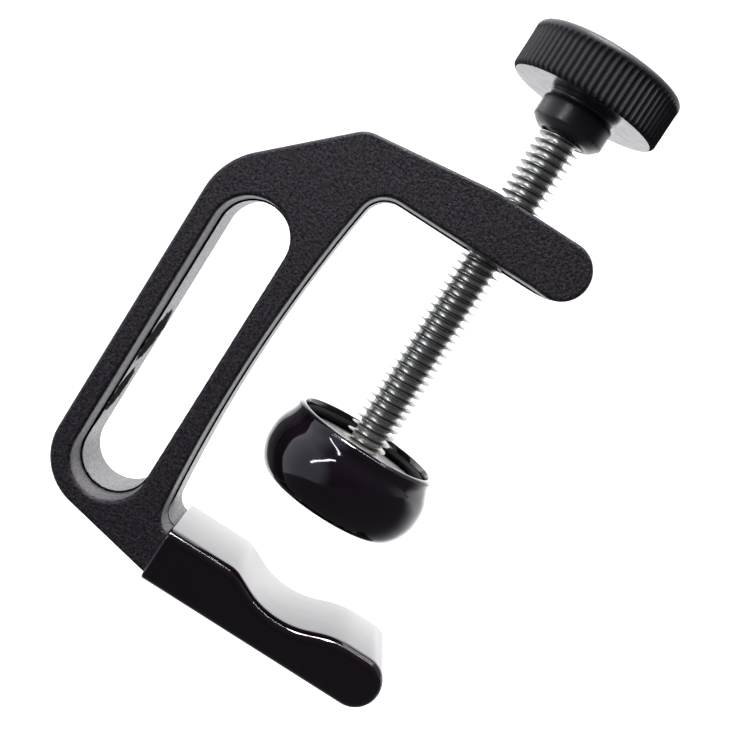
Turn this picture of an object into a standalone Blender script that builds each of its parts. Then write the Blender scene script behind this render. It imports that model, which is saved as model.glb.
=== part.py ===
"""Pipe clamp: a cast C-frame with a slotted spine, a knurled knob on a 5/16-18
screw, a swivel foot in a moulded cap and a soft sleeve over the lower jaw.

Frame of the part: X runs along the jaws, from the spine (negative) to the jaw
tips (positive); Y runs through the thickness; +Z runs along the screw, up to
the knob. X = 0, Y = 0 is the screw's axis. The heights below are drawn from the
flat top of the jaw sleeve; at the end everything moves down so that Z = 0 is the
cap's pressing face.

Lengths are in millimetres and angles in degrees unless a comment says otherwise.
A pair named _Z is (lower, upper); a profile point is (radius, z).
"""

import math

import bmesh
import bpy
from mathutils import Vector

MM = 0.001
MERGE_DIST = 1e-6       # metres
ARC_STEP = 10.0         # turn covered by one facet of a rounded corner
SHARP_ANGLE = 30.0      # edges steeper than this stay sharp in shading
GAP = 0.3               # gap between a piece and the one it rests on
OVERLAP = 1.0           # how far a cutter or a joined part runs past a face

# ---- frame ------------------------------------------------------------------
THICK = 18.0            # thickness of the casting
EDGE = 0.6              # rounding of its long edges
SPINE_X = -44.8         # outer edge of the spine
SLOT_X = -34.4          # centre line of the slot
SLOT_R = 6.4            # half the slot's width
SLOT_Z = (4.0, 47.8)    # centres of the slot's two end arcs
SLOT_FACETS = 14        # in each end arc

THROAT_X = -23.72       # deepest point of the throat wall
THROAT_MID_Z = 27.0     # height of that point
THROAT_R = 250.0        # slow hollow of the throat wall
THROAT_FILLETS = (3.0, 4.5)     # roundings at its lower and upper ends
THROAT_STATIONS = (6.0, 12.0, 18.0, 24.0, 30.0, 36.0, 42.0, 48.0, 54.0, 59.0)  # heights

ARM_Z = (65.4, 75.5)    # underside and top of the upper arm
ARM_TIP_X = 16.1        # tip of the upper arm
ARM_TIP_FLAT = 0.001    # taken off the arm tip's full rounding
COVER_X = -19.9         # open end of the sleeve, at the end of the heel

# the back of the frame, from the arm round to the lower jaw: x, z, rounding
BACK = (
    (-4.6, ARM_Z[1], 18.0),     # where the arm's top starts to fall
    (-27.4, 72.58, 5.0),        # the shoulder's peak
    (SPINE_X, 56.16, 12.8),     # shoulder
    (SPINE_X, -3.94, 10.3),     # heel
    (COVER_X, -9.1, 6.0),       # end of the heel
)

JAW_Z = (-8.9, -1.2)    # underside and flat land of the metal lower jaw
JAW_TIP_X = 23.4        # tip of the metal lower jaw
JAW_TIP_FLAT = 0.01     # taken off the jaw tip's full rounding
HORN_Z = -1.8           # top of the jaw's tip, past the hollow
HOLLOW_FAR = (13.55, 14.8)          # shoulder nearer the tip: x, rounding
HOLLOW_FLOOR = (2.5, -5.95, 16.2)   # floor's corner: x, z, rounding
HOLLOW_NEAR = (-7.1, 4.8)           # shoulder nearer the spine: x, rounding

COUNTERSINK_R = (5.3, 3.6)  # outer and inner ends of the cone
COUNTERSINK_OUT = 0.7       # reach of the cone outside the arm
COUNTERSINK_IN = 1.0        # reach of the cone inside the arm

# ---- jaw sleeve -------------------------------------------------------------
COVER_T = 1.2           # the sleeve stands this far off the metal
COVER_EDGE = 1.9        # rounding of its edges
COVER_OPEN = 8.0        # reach of the hollow past the open end

# ---- screw ------------------------------------------------------------------
PITCH = 25.4 / 18.0     # 5/16-18 thread
MAJOR_R = 3.97
MINOR_R = 3.10
FLANK_ANGLE = 30.0
HALF_CREST = PITCH / 16     # half of a standard crest flat
THREAD_Z = (26.5, 90.3)     # threaded length of the screw
THREAD_STEPS = 16           # facets in one turn
THREAD_GAP = 0.2            # radial running clearance of the thread
FADE_TURNS = 0.5            # run-out at each end of the screw's thread
FADE_START = 0.1            # share of the ridge at the very end
TAP_START = 27              # turns from the thread's start to the arm's tapped hole
TAP_TURNS = 11
TAP_END = 0.6               # plain length at each end of the tap

NECK_STEP = 0.02        # the neck's radius over the root radius
NECK_RISE = 0.3         # neck above the thread
SHANK_RISE = 1.0        # start of the full shank above the thread

PIVOT_Z = 26.2          # centre of the screw's ball nose
BALL_R = 3.0
BALL_ANGLES = (0, 16, 32)   # points of the nose, below the horizontal
PIN_R = 1.9
PIN_Z = 20.35           # lower end of the pin
PIN_CHAMFER = 0.15
GROOVE_R = 1.45
GROOVE_Z = (20.7, 21.8)
HEAD_AF = 12.7          # across the flats of the screw's hex head
HEAD_Z = (96.3, 101.4)

# ---- knob -------------------------------------------------------------------
KNOB_Z = (95.0, 103.6)
KNOB_R = 13.65
RIDGES = 72
RIDGE_DEEP = 0.42
# z, radius, share of the full ridge depth
KNOB_LEVELS = (
    (KNOB_Z[0], KNOB_R - 0.65, 0.0),
    (KNOB_Z[0] + 0.45, KNOB_R - 0.10, 0.8),
    (KNOB_Z[1] - 1.30, KNOB_R, 1.0),
    (KNOB_Z[1] - 0.55, KNOB_R - 0.22, 0.35),
    (KNOB_Z[1] - 0.12, KNOB_R - 0.75, 0.0),
    (KNOB_Z[1], KNOB_R - 1.35, 0.0),
)
BOSS_R = 6.45
BOSS_Z = (89.1, 90.6)   # lower face and top of the chamfer
BOSS_FACE_R = 5.0       # radius of the lower face
BOSS_TOP_Z = KNOB_Z[0] + 0.8
# the boss's neck: inset from its radius, depth below the knob's underside
BOSS_NECK = ((0.55, 0.5), (0.20, 0.85), (0.0, 1.35))
RECESS_R = 9.0          # seat of the knob's top cap
RECESS_Z = 102.0
POCKET_OVER = 0.4       # reach of the hex pocket into the recess
KNOB_CAP_CHAMFER = 0.35

# ---- swivel foot ------------------------------------------------------------
RING_Z = (20.9, 21.6)
RING_R = (1.7, 3.2)     # inner and outer
RING_MOUTH = 24         # half the mouth's angle at the outer arc
RING_LIP = 14           # the mouth's further half angle at the inner arc
RING_FACETS = (14, 20)  # in the inner and outer arcs
WASHER_Z = (22.05, 22.55)
WASHER_R = (2.45, 4.0)

FOOT_R = 13.2           # metal foot
FOOT_Z = (17.6, PIVOT_Z)
SEAT_R = BALL_R + GAP
SEAT_ANGLES = (38, 24, 10.5)    # points of the seat, below the horizontal
SEAT_RIM = 1.5          # width of the flare round the seat
FOOT_BORE_R = 2.6
COUNTERBORE_R = 4.8
COUNTERBORE_Z = 23.0
FOOT_SIDE = (
    (FOOT_R - 0.6, FOOT_Z[1]), (FOOT_R - 0.2, FOOT_Z[1] - 0.4), (FOOT_R, FOOT_Z[1] - 2.2),
    (FOOT_R, FOOT_Z[0] + 3.7), (FOOT_R - 0.4, FOOT_Z[0] + 2.0), (FOOT_R - 1.3, FOOT_Z[0] + 0.6),
    (FOOT_R - 2.3, FOOT_Z[0]),
)

# ---- moulded cap ------------------------------------------------------------
CAP_Z = (15.7, 29.2)    # pressing face and rim
CAP_FLOOR_Z = FOOT_Z[0] - GAP
# inside of the cup, upwards
CAP_INNER = (
    (0.0, CAP_FLOOR_Z), (11.0, CAP_FLOOR_Z), (12.5, CAP_FLOOR_Z + 0.9),
    (13.2, CAP_FLOOR_Z + 2.3), (13.5, CAP_FLOOR_Z + 4.0), (13.5, FOOT_Z[1] - 2.6),
    (13.35, FOOT_Z[1] - 0.4), (12.85, FOOT_Z[1] + 0.6), (12.45, FOOT_Z[1] + 1.2),
)
# over the rim and down the outside: radius, depth below the rim
CAP_OUTER = (
    (12.20, 1.1), (12.40, 0.35), (12.75, 0.0), (13.15, 0.06), (13.44, 0.40), (13.34, 1.0),
    (13.44, 1.8), (13.80, 2.7), (14.42, 4.0), (14.84, 5.4), (15.00, 7.1), (14.90, 8.8),
    (14.45, 10.4), (13.80, 11.8), (13.10, 12.7), (12.40, 13.25),
)
CAP_FACE_R = 11.60      # radius of the flat pressing face


# ---- scene and materials ----------------------------------------------------
for old in list(bpy.data.objects):
    bpy.data.objects.remove(old, do_unlink=True)

parts = bpy.data.collections.new("pipe_clamp")
cutters = bpy.data.collections.new("cutters")
for collection in (parts, cutters):
    bpy.context.scene.collection.children.link(collection)


def material(name, colour, roughness, metallic=0.0, coat=0.0):
    mat = bpy.data.materials.new(name)
    mat.use_nodes = True
    inputs = mat.node_tree.nodes["Principled BSDF"].inputs
    inputs["Base Color"].default_value = (*colour, 1.0)
    inputs["Roughness"].default_value = roughness
    inputs["Metallic"].default_value = metallic
    inputs["Coat Weight"].default_value = coat
    return mat


PVC_BLACK = (0.008, 0.007, 0.010)
PLASTIC_BLACK = (0.020, 0.019, 0.021)

FRAME_COAT = material("frame_powder_coat", colour=(0.022, 0.020, 0.024), roughness=0.62)
SLEEVE_PVC = material("sleeve_gloss_pvc", colour=PVC_BLACK, roughness=0.12, coat=0.4)
CAP_PVC = material("cap_gloss_pvc", colour=PVC_BLACK, roughness=0.12, coat=0.4)
ZINC = material("screw_zinc_steel", colour=(0.56, 0.56, 0.53), roughness=0.28, metallic=1.0)
FOOT_METAL = material("foot_metal", colour=(0.62, 0.61, 0.60), roughness=0.35, metallic=1.0)
KNOB_PLASTIC = material("knob_plastic", colour=PLASTIC_BLACK, roughness=0.48)
KNOB_TOP = material("knob_cap_plastic", colour=PLASTIC_BLACK, roughness=0.42)
SPRING = material("ring_spring_steel", colour=(0.30, 0.30, 0.30), roughness=0.35, metallic=1.0)
WASHER = material("washer_steel", colour=(0.50, 0.50, 0.48), roughness=0.35, metallic=1.0)


# ---- mesh helpers -----------------------------------------------------------
def add(name, mesh, mat=None):
    """Link a new object: a part if it has a material, otherwise a cutter."""
    obj = bpy.data.objects.new(name, mesh)
    if mat:
        parts.objects.link(obj)
        mesh.materials.clear()
        mesh.materials.append(mat)
    else:
        cutters.objects.link(obj)
        obj.hide_render = True
        obj.display_type = "WIRE"
    return obj


def finish(bm, mesh):
    bmesh.ops.recalc_face_normals(bm, faces=bm.faces)
    bm.to_mesh(mesh)
    bm.free()
    return mesh


def ring_vert(bm, index, count, radius, z):
    """A vertex at one of count equal stations round the Z axis."""
    angle = 2 * math.pi * index / count
    return bm.verts.new((radius * math.cos(angle) * MM, radius * math.sin(angle) * MM, z * MM))


def band(bm, lower, upper):
    """Quads between two closed rings."""
    count = len(lower)
    for k in range(count):
        j = (k + 1) % count
        bm.faces.new((lower[k], lower[j], upper[j], upper[k]))


def fan(bm, hub, rim):
    for first, second in zip(rim, rim[1:]):
        bm.faces.new((hub, first, second))


def smooth(obj):
    obj.data.shade_smooth()
    obj.data.set_sharp_from_angle(angle=math.radians(SHARP_ANGLE))


def cut(obj, cutter, operation="DIFFERENCE"):
    mod = obj.modifiers.new(operation.lower() + "_" + cutter.name, "BOOLEAN")
    mod.operation = operation
    mod.solver = "EXACT"
    mod.object = cutter


def bevel(obj, width, segments, degrees):
    mod = obj.modifiers.new("edges", "BEVEL")
    mod.width = width * MM
    mod.segments = segments
    mod.limit_method = "ANGLE"
    mod.angle_limit = math.radians(degrees)
    mod.use_clamp_overlap = True


# ---- outlines ---------------------------------------------------------------
def arc(centre_x, centre_y, radius, start, end, count):
    """Points along an arc, in count equal steps."""
    points = []
    for k in range(count + 1):
        angle = math.radians(start + (end - start) * k / count)
        points.append((centre_x + radius * math.cos(angle), centre_y + radius * math.sin(angle)))
    return points


def below_pivot(radius, angles):
    """Points on a sphere about the pivot, at angles below the horizontal."""
    return [
        (radius * math.cos(math.radians(angle)), PIVOT_Z - radius * math.sin(math.radians(angle)))
        for angle in angles
    ]


def rounded(corners):
    """A closed outline from (x, z, radius) corners; each radius becomes an arc."""
    outline = []
    for i, (x, z, radius) in enumerate(corners):
        if radius <= 0:
            outline.append((x, z))
            continue
        corner = Vector((x, z))
        to_last = (Vector(corners[i - 1][:2]) - corner).normalized()
        to_next = (Vector(corners[(i + 1) % len(corners)][:2]) - corner).normalized()
        between = to_last.angle(to_next)
        reach = radius / math.tan(between / 2)
        centre = corner + (to_last + to_next).normalized() * (radius / math.sin(between / 2))
        start = corner + to_last * reach - centre
        end = corner + to_next * reach - centre
        sweep = start.angle_signed(end)     # clockwise positive
        first = math.atan2(start.y, start.x)
        count = max(2, round(math.degrees(math.pi - between) / ARC_STEP))
        for k in range(count + 1):
            angle = first - sweep * k / count
            outline.append(
                (centre.x + radius * math.cos(angle), centre.y + radius * math.sin(angle))
            )
    return outline


def jaw_corners(off):
    """The lower jaw from its lower tip corner to the near shoulder of its shallow
    hollow, with every face moved out by off."""
    tip_r = (HORN_Z - JAW_Z[0]) / 2 - JAW_TIP_FLAT
    # x, z, rounding, +1 for a convex corner or -1 for a hollow one
    chain = [
        (COVER_X, JAW_Z[0], 0.0, 0),
        (JAW_TIP_X, JAW_Z[0], tip_r, 1),
        (JAW_TIP_X, HORN_Z, tip_r, 1),
        (HOLLOW_FAR[0], HORN_Z, HOLLOW_FAR[1], 1),
        (*HOLLOW_FLOOR, -1),
        (HOLLOW_NEAR[0], JAW_Z[1], HOLLOW_NEAR[1], 1),
        (COVER_X, JAW_Z[1], 0.0, 0),
    ]
    corners = []
    for before, (x, z, radius, side), after in zip(chain, chain[1:], chain[2:]):
        into = Vector((x - before[0], z - before[1])).normalized()
        out = Vector((after[0] - x, after[1] - z)).normalized()
        normal_in = Vector((into.y, -into.x))
        normal_out = Vector((out.y, -out.x))
        shift = (normal_in + normal_out) * (off / (1.0 + normal_in.dot(normal_out)))
        corners.append((x + shift.x, z + shift.y, radius + side * off))
    return corners


def jaw_outline(off, open_x):
    """The lower jaw's side outline, off outside the metal, from open_x to the tip."""
    return rounded([
        (open_x, JAW_Z[0] - off, 0.0),
        *jaw_corners(off),
        (open_x, JAW_Z[1] + off, 0.0),
    ])


# ---- solids -----------------------------------------------------------------
def plate(name, loops, half, mat=None, upright=True):
    """A flat outline with its holes, extruded to +-half; upright stands it in XZ."""
    curve = bpy.data.curves.new(name + "_outline", "CURVE")
    curve.dimensions = "2D"
    curve.fill_mode = "BOTH"
    curve.extrude = half * MM
    for loop in loops:
        spline = curve.splines.new("POLY")
        spline.points.add(len(loop) - 1)
        for point, (x, y) in zip(spline.points, loop):
            point.co = (x * MM, y * MM, 0.0, 1.0)
        spline.use_cyclic_u = True
    guide = bpy.data.objects.new(name + "_outline", curve)
    if upright:
        guide.rotation_euler = (math.pi / 2, 0.0, 0.0)
    cutters.objects.link(guide)
    bpy.context.view_layer.update()
    depsgraph = bpy.context.evaluated_depsgraph_get()
    mesh = bpy.data.meshes.new_from_object(guide.evaluated_get(depsgraph))
    world = guide.matrix_world.copy()
    bpy.data.objects.remove(guide, do_unlink=True)

    # weld the curve's separate walls and faces, and clear needless edges
    bm = bmesh.new()
    bm.from_mesh(mesh)
    bmesh.ops.remove_doubles(bm, verts=bm.verts, dist=MERGE_DIST)
    bmesh.ops.dissolve_limit(
        bm, angle_limit=math.radians(0.5), verts=bm.verts, edges=bm.edges
    )
    obj = add(name, finish(bm, mesh), mat)
    obj.matrix_world = world
    return obj


def turned(name, profile, steps, mat=None, closed=False):
    """A turned piece: (r, z) profile at +X, its outer side running down."""
    mesh = bpy.data.meshes.new(name)
    edges = [(i, i + 1) for i in range(len(profile) - 1)]
    if closed:
        edges.append((len(profile) - 1, 0))
    mesh.from_pydata([(r * MM, 0.0, z * MM) for r, z in profile], edges, [])
    obj = add(name, mesh, mat)
    mod = obj.modifiers.new("turn", "SCREW")
    mod.axis = "Z"
    mod.angle = 2 * math.pi
    mod.screw_offset = 0.0
    mod.steps = steps
    mod.render_steps = steps
    mod.use_merge_vertices = True
    mod.merge_threshold = MERGE_DIST
    mod.use_smooth_shade = True
    return obj


def rod(name, radius, z_lo, z_hi, segments, top_radius=None, phase=0.0):
    """A round, tapered or polygonal cutter along Z, turned by phase radians."""
    bm = bmesh.new()
    bmesh.ops.create_cone(
        bm, cap_ends=True, segments=segments,
        radius1=radius * MM, radius2=(radius if top_radius is None else top_radius) * MM,
        depth=(z_hi - z_lo) * MM,
    )
    obj = add(name, finish(bm, bpy.data.meshes.new(name)))
    obj.location = (0.0, 0.0, (z_lo + z_hi) / 2 * MM)
    obj.rotation_euler = (0.0, 0.0, phase)
    return obj


def hex_rod(name, half_flats, z_lo, z_hi):
    return rod(name, half_flats / math.cos(math.pi / 6), z_lo, z_hi, segments=6)


def threaded(name, z_lo, z_hi, grow, below, above, fade, mat=None):
    """A right-hand threaded rod. Each step round the helix carries a root, a crest
    and a root point, grown outwards by grow. below and above are (r, z) rings of
    the plain turned ends, ending at a flat face; fade is the run-out in turns."""
    n = THREAD_STEPS
    steps = round((z_hi - z_lo) / PITCH * n) - n
    root_r = MINOR_R + grow
    depth = MAJOR_R - MINOR_R
    half_ridge = depth * math.tan(math.radians(FLANK_ANGLE)) + HALF_CREST
    bm = bmesh.new()

    # the helix: the ridge's lower root, crest and upper root
    low, crest, high = [], [], []
    for i in range(steps + 1):
        z = z_lo + PITCH * i / n
        rise = 1.0
        if fade:
            rise = min(1.0, FADE_START + i / n / fade, FADE_START + (steps - i) / n / fade)
        low.append(ring_vert(bm, i, n, root_r, z))
        crest.append(ring_vert(bm, i, n, root_r + depth * rise, z + half_ridge))
        high.append(ring_vert(bm, i, n, root_r, z + 2 * half_ridge))
    for i in range(steps):
        bm.faces.new((low[i], low[i + 1], crest[i + 1], crest[i]))
        bm.faces.new((crest[i], crest[i + 1], high[i + 1], high[i]))
        if i + n < steps:
            bm.faces.new((high[i], high[i + 1], low[i + 1 + n], low[i + n]))

    def rings(profile):
        return [[ring_vert(bm, k, n, r, z) for k in range(n)] for r, z in profile]

    # lower end; where the helix starts, one turn's end meets the next: a fan
    # closes the step
    bottom = rings(below)
    edge = bottom[0]
    for k in range(n - 1):
        bm.faces.new((edge[k], edge[k + 1], low[k + 1], low[k]))
    fan(bm, low[n - 1], (edge[n - 1], edge[0], low[0], crest[0], high[0], low[n]))
    for upper, lower in zip(bottom, bottom[1:]):
        band(bm, lower, upper)
    bm.faces.new(list(reversed(bottom[-1])))

    # upper end, with the same fan at the helix's end
    top = rings(above)
    edge = top[0]
    last = steps - n        # first step of the last turn
    fan(bm, high[last + 1], (
        edge[(last + 1) % n], edge[last % n],
        high[steps], crest[steps], low[steps], high[last],
    ))
    for i in range(last + 1, steps):
        bm.faces.new((high[i], high[i + 1], edge[(i + 1) % n], edge[i % n]))
    for lower, upper in zip(top, top[1:]):
        band(bm, lower, upper)
    bm.faces.new(top[-1])
    return add(name, finish(bm, bpy.data.meshes.new(name)), mat)


# ---- pieces -----------------------------------------------------------------
def throat_point(z, radius=0.0):
    """The throat wall is a slow arc, hollow towards the spine."""
    return (THROAT_X + (z - THROAT_MID_Z) ** 2 / (2 * THROAT_R), z, radius)


def build_frame():
    arm_r = (ARM_Z[1] - ARM_Z[0]) / 2 - ARM_TIP_FLAT
    outline = rounded([
        (ARM_TIP_X, ARM_Z[0], arm_r),
        (ARM_TIP_X, ARM_Z[1], arm_r),
        *BACK,
        *jaw_corners(0.0),
        throat_point(JAW_Z[1], THROAT_FILLETS[0]),
        *[throat_point(z) for z in THROAT_STATIONS],
        throat_point(ARM_Z[0], THROAT_FILLETS[1]),
    ])
    slot = (
        arc(SLOT_X, SLOT_Z[1], SLOT_R, 0, 180, SLOT_FACETS)
        + arc(SLOT_X, SLOT_Z[0], SLOT_R, 180, 360, SLOT_FACETS)
    )
    frame = plate("clamp_frame", [outline, slot], THICK / 2, FRAME_COAT)
    bevel(frame, EDGE, segments=2, degrees=50.0)

    # the tap follows the screw's own helix, a whole number of turns up
    tap_lo = THREAD_Z[0] + PITCH * TAP_START
    tap_hi = tap_lo + PITCH * TAP_TURNS
    tap_r = MINOR_R + THREAD_GAP
    cut(frame, threaded(
        "arm_thread_cutter", tap_lo, tap_hi, grow=THREAD_GAP,
        below=[(tap_r, tap_lo - TAP_END)], above=[(tap_r, tap_hi + TAP_END)], fade=0.0,
    ))
    wide, narrow = COUNTERSINK_R
    cut(frame, rod(
        "arm_lower_countersink", wide, ARM_Z[0] - COUNTERSINK_OUT, ARM_Z[0] + COUNTERSINK_IN,
        segments=24, top_radius=narrow, phase=0.07,
    ))
    cut(frame, rod(
        "arm_upper_countersink", narrow, ARM_Z[1] - COUNTERSINK_IN, ARM_Z[1] + COUNTERSINK_OUT,
        segments=24, top_radius=wide, phase=0.07,
    ))
    smooth(frame)


def build_sleeve():
    sleeve = plate(
        "jaw_cover", [jaw_outline(COVER_T, COVER_X)], THICK / 2 + COVER_T, SLEEVE_PVC
    )
    bevel(sleeve, COVER_EDGE, segments=4, degrees=60.0)
    cut(sleeve, plate(
        "jaw_cover_hollow", [jaw_outline(GAP, COVER_X - COVER_OPEN)], THICK / 2 + GAP
    ))
    smooth(sleeve)


def build_screw():
    ball_foot = PIVOT_Z - math.sqrt(BALL_R**2 - PIN_R**2)
    nose_and_pin = below_pivot(BALL_R, BALL_ANGLES) + [
        (PIN_R, ball_foot),
        (PIN_R, GROOVE_Z[1]),
        (GROOVE_R, GROOVE_Z[1]),
        (GROOVE_R, GROOVE_Z[0]),
        (PIN_R, GROOVE_Z[0]),
        (PIN_R, PIN_Z + PIN_CHAMFER),
        (PIN_R - PIN_CHAMFER, PIN_Z),
    ]
    shank = [
        (MINOR_R + NECK_STEP, THREAD_Z[1] + NECK_RISE),
        (MAJOR_R, THREAD_Z[1] + SHANK_RISE),
        (MAJOR_R, HEAD_Z[0] + OVERLAP),
    ]
    screw = threaded(
        "clamp_screw", *THREAD_Z, grow=0.0,
        below=nose_and_pin, above=shank, fade=FADE_TURNS, mat=ZINC,
    )
    cut(screw, hex_rod("screw_hex_head", HEAD_AF / 2, *HEAD_Z), "UNION")


def knurled(name, mat):
    """A drum whose rim carries straight ridges that fade into its rounded top edge
    and its small lower chamfer."""
    bm = bmesh.new()
    count = RIDGES * 2
    rows = [
        [
            ring_vert(bm, k, count, radius - (RIDGE_DEEP * share if k % 2 else 0.0), z)
            for k in range(count)
        ]
        for z, radius, share in KNOB_LEVELS
    ]
    for lower, upper in zip(rows, rows[1:]):
        band(bm, lower, upper)
    bm.faces.new(list(reversed(rows[0])))
    bm.faces.new(rows[-1])
    return add(name, finish(bm, bpy.data.meshes.new(name)), mat)


def build_knob():
    knob = knurled("knob", KNOB_PLASTIC)
    boss = [
        (0.0, BOSS_TOP_Z),
        (BOSS_R - BOSS_NECK[0][0], BOSS_TOP_Z),
        *[(BOSS_R - inset, KNOB_Z[0] - down) for inset, down in BOSS_NECK],
        (BOSS_R, BOSS_Z[1]),
        (BOSS_FACE_R, BOSS_Z[0]),
        (0.0, BOSS_Z[0]),
    ]
    cut(knob, turned("knob_boss", boss, steps=32), "UNION")
    cut(knob, rod(
        "knob_bore", MAJOR_R + GAP, BOSS_Z[0] - OVERLAP, HEAD_Z[0] + OVERLAP,
        segments=24, phase=0.03,
    ))
    cut(knob, hex_rod(
        "knob_hex_pocket", HEAD_AF / 2 + GAP, HEAD_Z[0] - GAP, RECESS_Z + POCKET_OVER
    ))
    cut(knob, rod(
        "knob_cap_recess", RECESS_R, RECESS_Z, KNOB_Z[1] + OVERLAP, segments=32, phase=0.05
    ))


def build_knob_cap():
    radius = RECESS_R - GAP
    profile = [
        (0.0, KNOB_Z[1]),
        (radius - KNOB_CAP_CHAMFER, KNOB_Z[1]),
        (radius, KNOB_Z[1] - KNOB_CAP_CHAMFER),
        (radius, RECESS_Z + GAP),
        (0.0, RECESS_Z + GAP),
    ]
    turned("knob_cap", profile, steps=32, mat=KNOB_TOP)


def build_foot():
    profile = [
        (SEAT_R + SEAT_RIM, FOOT_Z[1]),
        *FOOT_SIDE,
        (COUNTERBORE_R, FOOT_Z[0]),
        (COUNTERBORE_R, COUNTERBORE_Z),
        (FOOT_BORE_R, COUNTERBORE_Z),
        *below_pivot(SEAT_R, SEAT_ANGLES),
    ]
    turned("swivel_foot", profile, steps=36, mat=FOOT_METAL, closed=True)


def build_washer():
    inner, outer = WASHER_R
    low, high = WASHER_Z
    profile = [(inner, high), (outer, high), (outer, low), (inner, low)]
    turned("foot_washer", profile, steps=24, mat=WASHER, closed=True)


def build_ring():
    """An open clip: its mouth faces +X, and its bore is smaller than the pin."""
    inner_mouth = RING_MOUTH + RING_LIP
    outline = (
        arc(0, 0, RING_R[1], RING_MOUTH, 360 - RING_MOUTH, RING_FACETS[1])
        + arc(0, 0, RING_R[0], 360 - inner_mouth, inner_mouth, RING_FACETS[0])
    )
    half = (RING_Z[1] - RING_Z[0]) / 2
    ring = plate("retaining_ring", [outline], half, SPRING, upright=False)
    ring.location = (0.0, 0.0, (RING_Z[0] + RING_Z[1]) / 2 * MM)


def build_cap():
    """The moulded cup: it bulges round the foot, draws in above it and flares a
    little to a thin rounded rim."""
    profile = [
        *CAP_INNER,
        *[(radius, CAP_Z[1] - down) for radius, down in CAP_OUTER],
        (CAP_FACE_R, CAP_Z[0]),
        (0.0, CAP_Z[0]),
    ]
    turned("foot_cap", profile, steps=40, mat=CAP_PVC)


build_frame()
build_sleeve()
build_screw()
build_knob()
build_knob_cap()
build_foot()
build_washer()
build_ring()
build_cap()

# bring the centre of the cap's pressing face to the origin
for obj in [*parts.objects, *cutters.objects]:
    obj.location.z -= CAP_Z[0] * MM
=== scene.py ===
"""Looks of a pipe clamp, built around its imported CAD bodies.

The screw stands upright on the Z axis, with its knob at the top and its swivel foot
below. The C-shaped frame lies in the XZ plane, its spine on the -X side, its arm round
the screw and its sleeved jaw under the foot. The front faces -Y.

Lengths are in millimetres unless said otherwise. Heights are drawn from the flat top of
the jaw's sleeve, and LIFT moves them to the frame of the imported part.
"""

import math

import bmesh
import bpy
from mathutils import Matrix, Vector, noise
from mathutils.geometry import tessellate_polygon


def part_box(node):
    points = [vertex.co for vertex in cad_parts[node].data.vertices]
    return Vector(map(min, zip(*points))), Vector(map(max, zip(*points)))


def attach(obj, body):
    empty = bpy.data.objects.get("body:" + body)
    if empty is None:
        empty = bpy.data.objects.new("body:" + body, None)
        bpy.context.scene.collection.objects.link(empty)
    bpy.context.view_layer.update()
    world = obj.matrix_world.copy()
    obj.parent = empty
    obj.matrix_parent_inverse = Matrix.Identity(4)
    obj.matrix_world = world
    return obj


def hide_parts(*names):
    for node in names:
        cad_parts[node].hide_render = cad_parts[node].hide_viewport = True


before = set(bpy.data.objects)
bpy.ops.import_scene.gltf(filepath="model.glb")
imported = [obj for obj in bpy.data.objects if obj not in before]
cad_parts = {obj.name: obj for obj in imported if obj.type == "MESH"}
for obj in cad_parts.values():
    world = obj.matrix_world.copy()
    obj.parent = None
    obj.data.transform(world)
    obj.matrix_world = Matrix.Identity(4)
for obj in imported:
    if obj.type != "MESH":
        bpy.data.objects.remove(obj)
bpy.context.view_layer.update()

MM = 0.001
CAP_LOW = 15.7                                   # drawn height of the cap's underside
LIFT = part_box("foot_cap")[0].z / MM - CAP_LOW    # drawn height to the frame's height

# Sizes that several pieces share
PITCH = 25.4 / 18.0
THREAD_LOW = 26.5
THREAD_ROOT, THREAD_CREST = 3.10, 3.97           # nominal radii
BALL_Z = 26.2                                    # the screw's ball, level with the disc's top
THICK = 18.0                                     # the frame, along Y
PART_Y = -3.42                                   # where the frame's two die halves met


# ---- meshes and outlines ----------------------------------------------------
def new_object(name, mesh, materials, body, node):
    obj = bpy.data.objects.new(name, mesh)
    bpy.context.scene.collection.objects.link(obj)
    for material in materials:
        mesh.materials.append(material)
    for face in mesh.polygons:
        face.use_smooth = True
    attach(obj, body)
    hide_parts(node)
    return obj


def mesh_of(name, verts, faces):
    """A mesh from points in drawn millimetres."""
    mesh = bpy.data.meshes.new(name)
    mesh.from_pydata([(x * MM, y * MM, (z + LIFT) * MM) for x, y, z in verts], [], faces)
    bm = bmesh.new()
    bm.from_mesh(mesh)
    bmesh.ops.remove_doubles(bm, verts=bm.verts, dist=2e-7)
    bmesh.ops.dissolve_degenerate(bm, dist=1e-8, edges=bm.edges)
    bmesh.ops.recalc_face_normals(bm, faces=bm.faces)
    bm.to_mesh(mesh)
    bm.free()
    mesh.update()
    return mesh


def rounded(corners, pace=0.45):
    """A closed outline through corners (x, z, radius), with finely stepped arcs."""
    out = []
    for i, (x, z, radius) in enumerate(corners):
        here = Vector((x, z))
        if radius <= 0.0:
            out.append(here)
            continue
        back = (Vector(corners[i - 1][:2]) - here).normalized()
        ahead = (Vector(corners[(i + 1) % len(corners)][:2]) - here).normalized()
        angle = back.angle(ahead)
        reach = radius / math.tan(angle / 2)
        centre = here + (back + ahead).normalized() * (radius / math.sin(angle / 2))
        start, end = here + back * reach - centre, here + ahead * reach - centre
        first = math.atan2(start.y, start.x)
        turn = (math.atan2(end.y, end.x) - first + math.pi) % (2 * math.pi) - math.pi
        count = max(6, math.ceil(abs(turn) * radius / pace))
        for k in range(count + 1):
            w = first + turn * k / count
            out.append(centre + Vector((radius * math.cos(w), radius * math.sin(w))))
    return out


def stepped(points, pace):
    """The same closed outline, its straight runs cut into steps of about pace."""
    out = []
    for here, ahead in zip(points, points[1:] + points[:1]):
        length = (ahead - here).length
        if length < 1e-6:
            continue
        count = max(1, round(length / pace))
        out += [here.lerp(ahead, k / count) for k in range(count)]
    return out


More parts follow.
